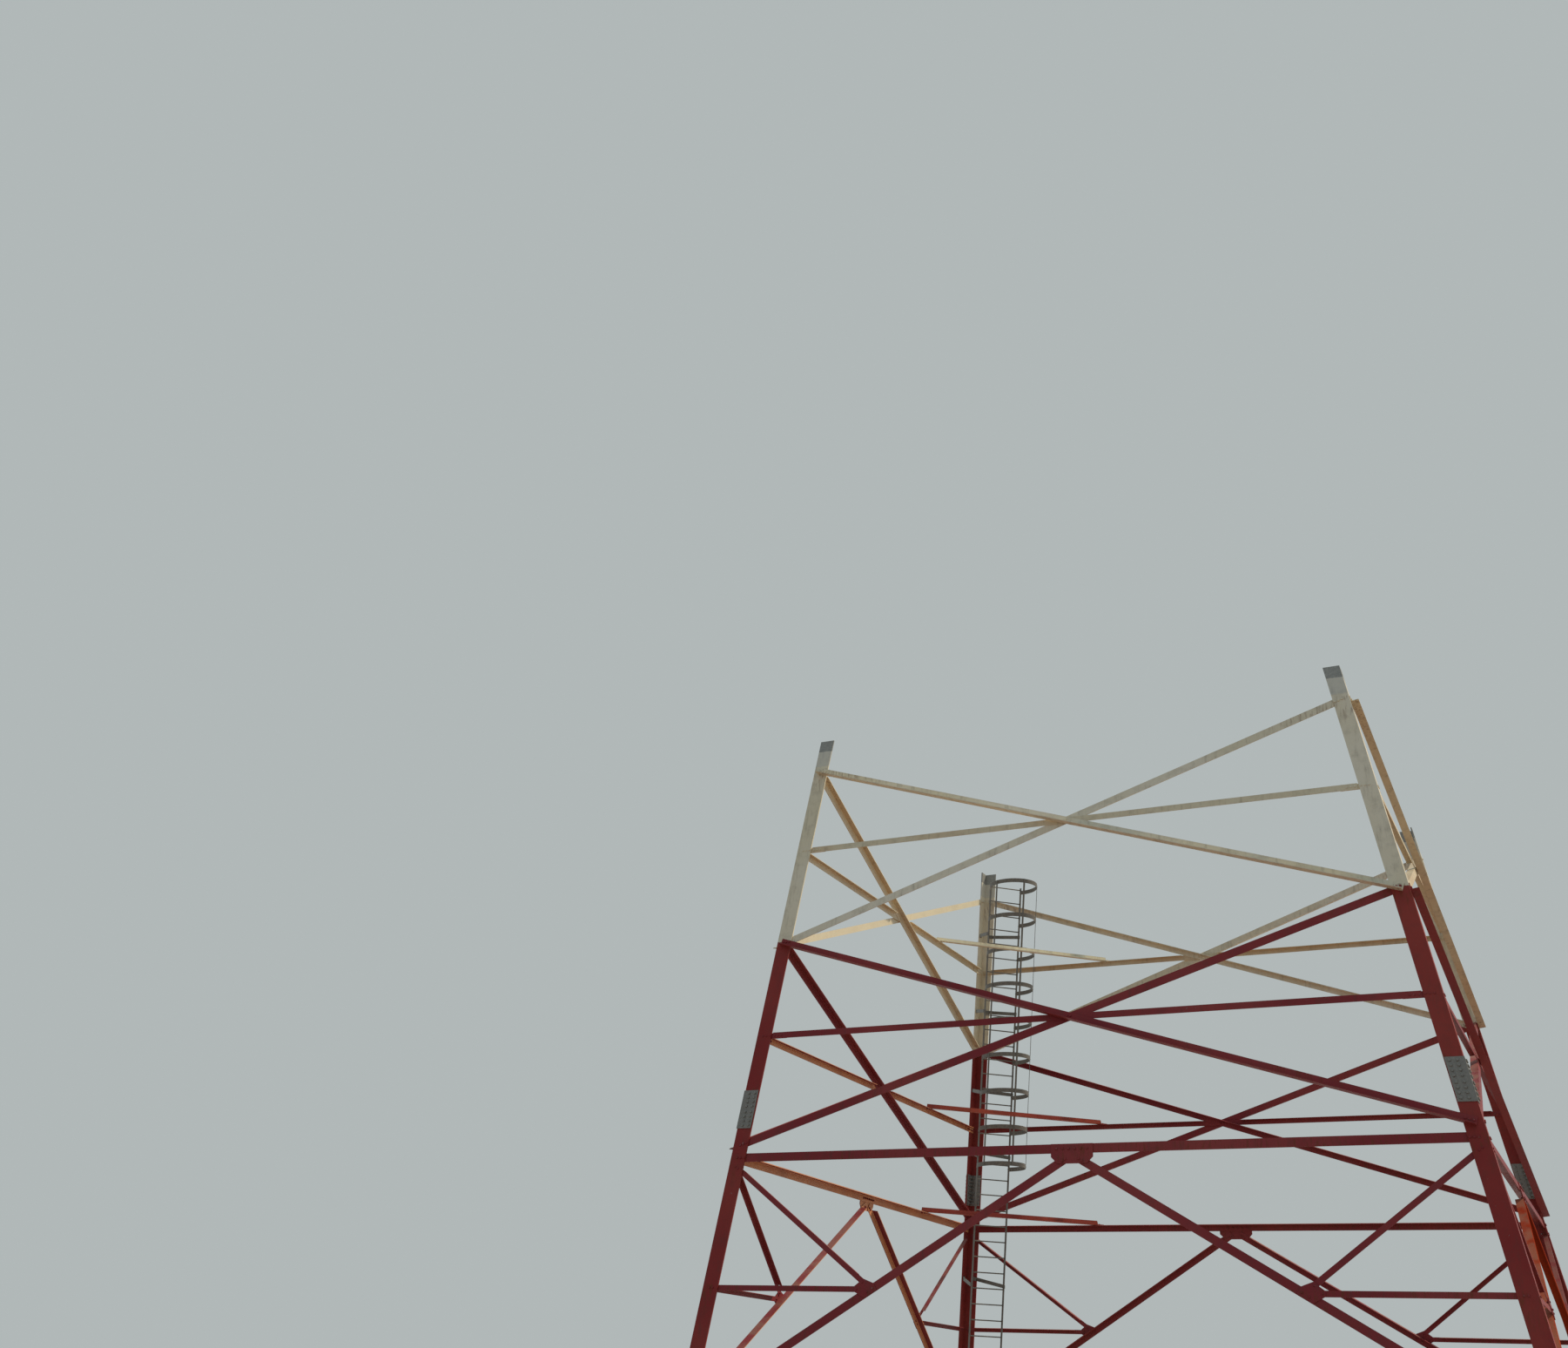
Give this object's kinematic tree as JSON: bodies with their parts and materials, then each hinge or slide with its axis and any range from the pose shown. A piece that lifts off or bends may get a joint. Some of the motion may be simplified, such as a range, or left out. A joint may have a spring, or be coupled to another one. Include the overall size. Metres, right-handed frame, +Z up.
{
  "type": "lattice radio mast lower section",
  "caption": "Lower section of a square four-legged lattice radio mast: leaning angle legs, crossed braces, foot braces and a caged ladder, open at its top.",
  "frame": {"origin": "centre of the square footprint, at the underside of the base plates", "axes": "+Z up; +X along the front side to the right; -Y is the front side; the ladder is inside the back left leg"},
  "size_m": [12.5884, 12.5884, 11.24],
  "materials": {
    "red_leg": "weathered red paint",
    "white_leg": "weathered white paint above, red below the colour change, bare zinc at the end",
    "red_bracing": "weathered red paint",
    "white_bracing": "weathered off-white paint",
    "galvanised_plate": "dull hot-dip galvanised",
    "galvanised_ladder": "dull hot-dip galvanised"
  },
  "bodies": {
    "root": {"lower_leg_front_left": "red_leg", "lower_leg_front_right": "red_leg", "lower_leg_back_right": "red_leg", "lower_leg_back_left": "red_leg", "upper_leg_front_left": "white_leg", "upper_leg_front_right": "white_leg", "upper_leg_back_right": "white_leg", "upper_leg_back_left": "white_leg", "base_plate_front_left": "galvanised_plate", "base_plate_front_right": "galvanised_plate", "base_plate_back_right": "galvanised_plate", "base_plate_back_left": "galvanised_plate", "leg_splices": "galvanised_plate", "front_upper_braces": "white_bracing", "right_upper_braces": "white_bracing", "back_upper_braces": "white_bracing", "left_upper_braces": "white_bracing", "front_lower_braces": "red_bracing", "right_lower_braces": "red_bracing", "back_lower_braces": "red_bracing", "left_lower_braces": "red_bracing", "front_main_tie": "red_bracing", "right_main_tie": "red_bracing", "back_main_tie": "red_bracing", "left_main_tie": "red_bracing", "front_foot_braces": "red_bracing", "right_foot_braces": "red_bracing", "back_foot_braces": "red_bracing", "left_foot_braces": "red_bracing", "front_foot_struts": "red_bracing", "right_foot_struts": "red_bracing", "back_foot_struts": "red_bracing", "left_foot_struts": "red_bracing", "upper_ties": "white_bracing", "lower_ties": "red_bracing", "main_gussets": "red_bracing", "strut_gussets": "red_bracing", "corner_ties": "red_bracing", "ladder": "galvanised_ladder", "ladder_brackets": "galvanised_ladder", "cage_hoops": "galvanised_ladder", "cage_straps": "galvanised_ladder"}
  },
  "joints": []
}
